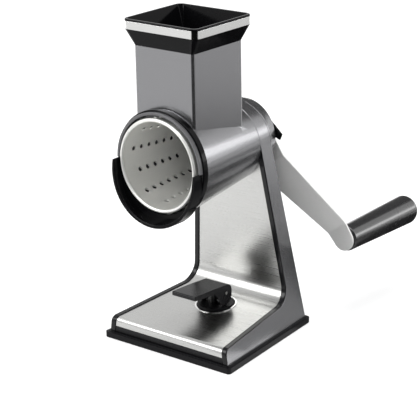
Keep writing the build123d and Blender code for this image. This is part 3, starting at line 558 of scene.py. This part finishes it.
# ---------------------------------------------------------------- suction stem, spring and pin
# A blackened steel stem carries the cup. A wound steel spring bears on its washer and pushes it down,
# and a cross pin through its head hangs on the lever.
stem_black = metal("stem_black", colour=(0.030, 0.030, 0.031), roughness=0.34,
                   streak=0.0004, streak_axis="Z", wander=0.04)
softened("suction_stem", stem_black, edge_round=0.0003)
softened("stem_washer", zinc, edge_round=0.0002)
dress("suction_spring", zinc)
softened("lever_pin", zinc, edge_round=0.0002)

# ---------------------------------------------------------------- suction lever
# A thick black moulded paddle that turns on the cross pin. Its two cams bear on the tower and lift
# the stem as the paddle is laid forward.
lever_black = moulded(
    "lever_black", colour=(0.008, 0.008, 0.009), roughness=0.27,
    grain_size=0.0004, grain_depth=0.00002, mottle=0.04, specular=0.22)
softened("suction_lever", lever_black, edge_round=0.0011)

# ---------------------------------------------------------------- barrel and hopper tube
# One moulding in the same satin lacquer as the cheeks: a conical barrel round the drum, with a square
# tube that stands on it and opens into it.
softened("barrel_housing", anthracite, edge_round=0.0005)

# ---------------------------------------------------------------- mouth: collar, ring and spout lip
# A collar laps the barrel's front edge. Its gloss black is painted shade: it stands for the dark band of
# shade and reflection between the ring and the hopper. A satin half ring frames the drum above, and a
# gloss black trough juts out below it, clear of the stand.
gloss_black = moulded(
    "gloss_black", colour=(0.0030, 0.0030, 0.0035), roughness=0.12,
    grain_size=0.002, grain_depth=0.000004, mottle=0.03, specular=0.12)
# The collar's gloss black paints in the shade and dark reflection where the barrel meets the hopper.
softened("mouth_collar", gloss_black, edge_round=0.0003)
ring_satin = moulded(
    "ring_satin", colour=(0.105, 0.105, 0.11), roughness=0.24,
    grain_size=0.0003, grain_depth=0.00002, mottle=0.03)
softened("front_ring", ring_satin, edge_round=0.0003)
softened("spout_lip", gloss_black, edge_round=0.0004)

# ---------------------------------------------------------------- hopper funnel and band
# The gloss black flare that tops the tube, moulded in one piece, with a plain band of bright steel
# let in under its lip.
softened("hopper_funnel", gloss_black, edge_round=0.0004)
softened("hopper_band", bright_steel, edge_round=0.0002)

# ---------------------------------------------------------------- bearing block, bush and screws
# Inside the arch a solid black block carries a pale bush for the shaft, and three screws hold the
# barrel to it.
softened("bearing_block", base_black, edge_round=0.0004)
bush_white = moulded(
    "bush_white", colour=(0.60, 0.60, 0.57), roughness=0.45,
    grain_size=0.0006, grain_depth=0.00002, mottle=0.04)
softened("bearing_bush", bush_white, edge_round=0.0002)
softened("housing_screws", zinc, edge_round=0.0002)

# ---------------------------------------------------------------- rear cap and lock ring
# A rounded cap, lacquered like the arch, closes the head behind. The black lock ring with its thumb
# tab turns on the cap's spigot.
softened("rear_cap", anthracite, edge_round=0.0004)
softened("lock_ring", gloss_black, edge_round=0.0005)

# ---------------------------------------------------------------- drum
# A cone of thin stainless steel with a rolled front rim. Rows of holes are punched from inside, and
# each raises a sharp lip on the leading side.
drum_steel = metal("drum_steel", colour=(0.88, 0.88, 0.85), roughness=0.36,
                   streak=0.0008, streak_axis="Y", wander=0.05, metallic=0.70)
softened("drum", drum_steel, edge_round=0.00012)
axis_height = 0.1775
drum_front_y = -0.0720
drum_front_radius = 0.0408
drum_rear_y = 0.0110
drum_rear_radius = 0.0314
drum_slope = (drum_rear_radius - drum_front_radius) / (drum_rear_y - drum_front_y)
hole_radius = 0.0022
hole_rows = 12
first_row_turn = 9.0
hole_pitch = 0.0091
first_hole_depth = 0.0132
holes_in_row = 7
last_hole_y = 0.0
tooth_height = 0.0013
tooth_wall = 0.0006
tooth_steps = 14
tooth_half_angle = 105
tooth_fullness = 0.7
# A lip's section, from its foot on the cone to its root in the hole, as (walls out from the hole's
# edge, share of the crest's height, depth below the cone).
tooth_section = [
    (1.6, 0.0, 0.0001), (0.7, 0.75, 0.0), (-0.4, 1.0, 0.0), (-0.3, 0.7, 0.0), (0.0, 0.0, 0.0004)]
drum_teeth = bmesh.new()


def raise_tooth(turn, y):
    """One punched lip: a crescent that rises round the leading half of a hole."""
    radius = drum_front_radius + drum_slope * (y - drum_front_y)
    outward = Vector((math.sin(turn), 0.0, math.cos(turn)))
    along = (Vector((0.0, 1.0, 0.0)) + outward * drum_slope).normalized()
    aside = along.cross(outward)
    centre = Vector((0.0, y, axis_height)) + outward * radius
    rings = []
    for step in range(tooth_steps + 1):
        swing = math.radians(-tooth_half_angle + 2 * tooth_half_angle * step / tooth_steps)
        crest = 0.0
        if 0 < step < tooth_steps:
            crest = tooth_height * math.cos(swing * 90 / tooth_half_angle) ** tooth_fullness
        direction = aside * math.cos(swing) + along * math.sin(swing)
        ring = []
        for walls, share, depth in tooth_section:
            out = hole_radius + walls * tooth_wall
            up = crest * share - depth
            ring.append(drum_teeth.verts.new(centre + direction * out + outward * up))
        rings.append(ring)
    for ring, following in zip(rings, rings[1:]):
        for k in range(len(ring) - 1):
            drum_teeth.faces.new((ring[k], following[k], following[k + 1], ring[k + 1]))


for row in range(hole_rows):
    row_turn = math.radians(first_row_turn + 360 * row / hole_rows)
    stagger = hole_pitch / 2 * ((row + 1) % 2)
    for index in range(holes_in_row):
        hole_y = drum_front_y + first_hole_depth + stagger + hole_pitch * index
        if hole_y < last_hole_y:
            raise_tooth(row_turn, hole_y)
for face in drum_teeth.faces:
    face.smooth = True
teeth_mesh = bpy.data.meshes.new("drum_teeth")
drum_teeth.to_mesh(teeth_mesh)
drum_teeth.free()
teeth_mesh.materials.append(drum_steel)
teeth = bpy.data.objects.new("drum_teeth", teeth_mesh)
bpy.context.scene.collection.objects.link(teeth)
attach(teeth, "crank")

# ---------------------------------------------------------------- drum hub and shaft
# A black moulded disc closes the drum's rear, with ribs that stiffen its front. The shaft's square
# end fits its middle, and the shaft is turned from zinc-plated steel.
softened("drum_hub", base_black, edge_round=0.0004)
softened("drive_shaft", zinc, edge_round=0.0003)
rib_count = 8
rib_width = 0.0016
rib_rise = 0.0020
rib_sink = 0.0004
rib_inner = 0.0100
rib_outer = 0.0292
rib_round = 0.0003
hub_depth = 0.0080
hub_face_y = drum_rear_y - hub_depth
hub_ribs = bmesh.new()
for index in range(rib_count):
    spoke = Matrix.Translation((0.0, 0.0, axis_height)) @ Matrix.Rotation(
        math.tau * index / rib_count, 4, "Y")
    corners = bmesh.ops.create_cube(hub_ribs, size=1.0)["verts"]
    place = Matrix.Translation(((rib_inner + rib_outer) / 2, hub_face_y - rib_rise / 2, 0.0))
    size = Matrix.Diagonal((rib_outer - rib_inner, rib_rise + rib_sink, rib_width, 1.0))
    bmesh.ops.transform(hub_ribs, matrix=spoke @ place @ size, verts=corners)
bmesh.ops.bevel(hub_ribs, geom=hub_ribs.edges[:], offset=rib_round, segments=2, profile=0.5,
                affect="EDGES")
ribs_mesh = bpy.data.meshes.new("drum_hub_ribs")
hub_ribs.to_mesh(ribs_mesh)
hub_ribs.free()
ribs_mesh.materials.append(base_black)
ribs = bpy.data.objects.new("drum_hub_ribs", ribs_mesh)
bpy.context.scene.collection.objects.link(ribs)
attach(ribs, "crank")

# ---------------------------------------------------------------- crank
# A black disc is pressed on the shaft, and a screw holds the arm to it. The arm is a tapered strip of
# satin steel, bent twice so that its end pad clears the stand.
softened("crank_hub", gloss_black, edge_round=0.0003)
arm_steel = metal("arm_steel", colour=(0.87, 0.87, 0.86), roughness=0.48,
                  streak=0.0009, streak_axis="X", wander=0.02, metallic=0.60)
softened("crank_arm", arm_steel, edge_round=0.0004)
softened("hub_screw", zinc, edge_round=0.0003)

# ---------------------------------------------------------------- grip
# A gloss black grip, moulded with a domed end. It turns on an axle that is riveted in the arm's end
# pad, with a washer between the two.
softened("grip_axle", zinc, edge_round=0.0002)
softened("grip_washer", zinc, edge_round=0.0003)
grip_black = moulded(
    "grip_black", colour=(0.010, 0.010, 0.011), roughness=0.27,
    grain_size=0.0008, grain_depth=0.000004, mottle=0.03, specular=1.0)
grip_shader = grip_black.node_tree.nodes["Principled BSDF"]
grip_shader.inputs["Coat Weight"].default_value = 1.0
grip_shader.inputs["Coat Roughness"].default_value = 0.13
softened("grip", grip_black, edge_round=0.0003)
